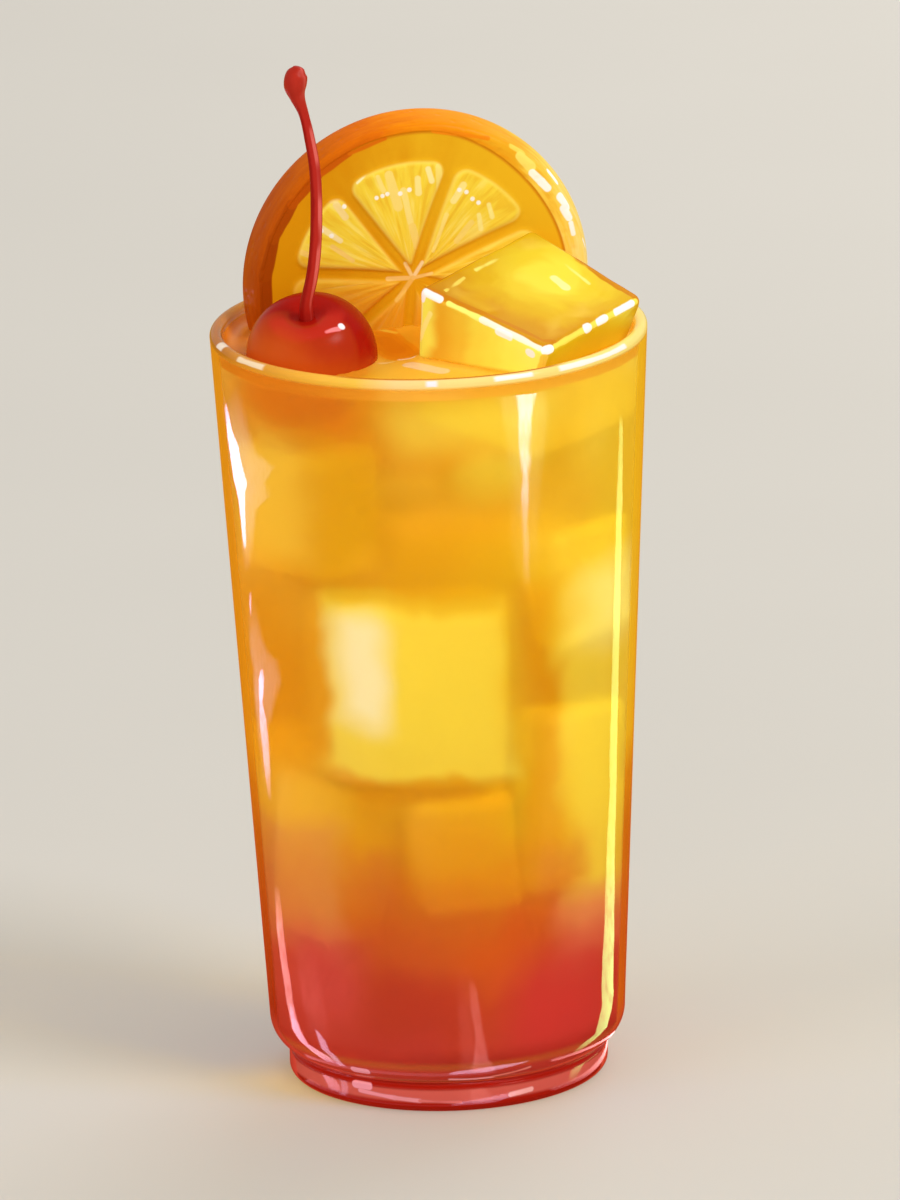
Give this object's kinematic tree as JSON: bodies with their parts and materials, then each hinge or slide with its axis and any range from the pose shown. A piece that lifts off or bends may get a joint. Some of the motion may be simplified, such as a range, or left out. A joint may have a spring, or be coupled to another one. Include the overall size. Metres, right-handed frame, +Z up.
{
  "type": "tequila sunrise",
  "caption": "Tall tumbler of tequila sunrise, red at the bottom and golden above, with an orange wheel, a floating block of ice and a stemmed cherry.",
  "frame": {"origin": "on the glass's axis, at the plane that it stands on", "axes": "+Z up along the glass's axis, -Y towards the viewer of the picture, +X to the viewer's right"},
  "size_m": [0.08, 0.08, 0.1944],
  "materials": {
    "clear_glass": "clear, polished",
    "grenadine_red": "red syrup, glossy",
    "orange_juice": "cloudy golden juice, glossy",
    "orange_flesh": "wet fruit",
    "ice": "clear ice, tinted by the drink round it",
    "cherry_red": "glossy preserved cherry",
    "stem_red": "satin stalk"
  },
  "bodies": {
    "root": {"tumbler": "clear_glass", "juice": "orange_juice", "grenadine": "grenadine_red", "orange_wheel": "orange_flesh", "ice_block": "ice", "cherry": "cherry_red", "cherry_stem": "stem_red"}
  },
  "joints": []
}
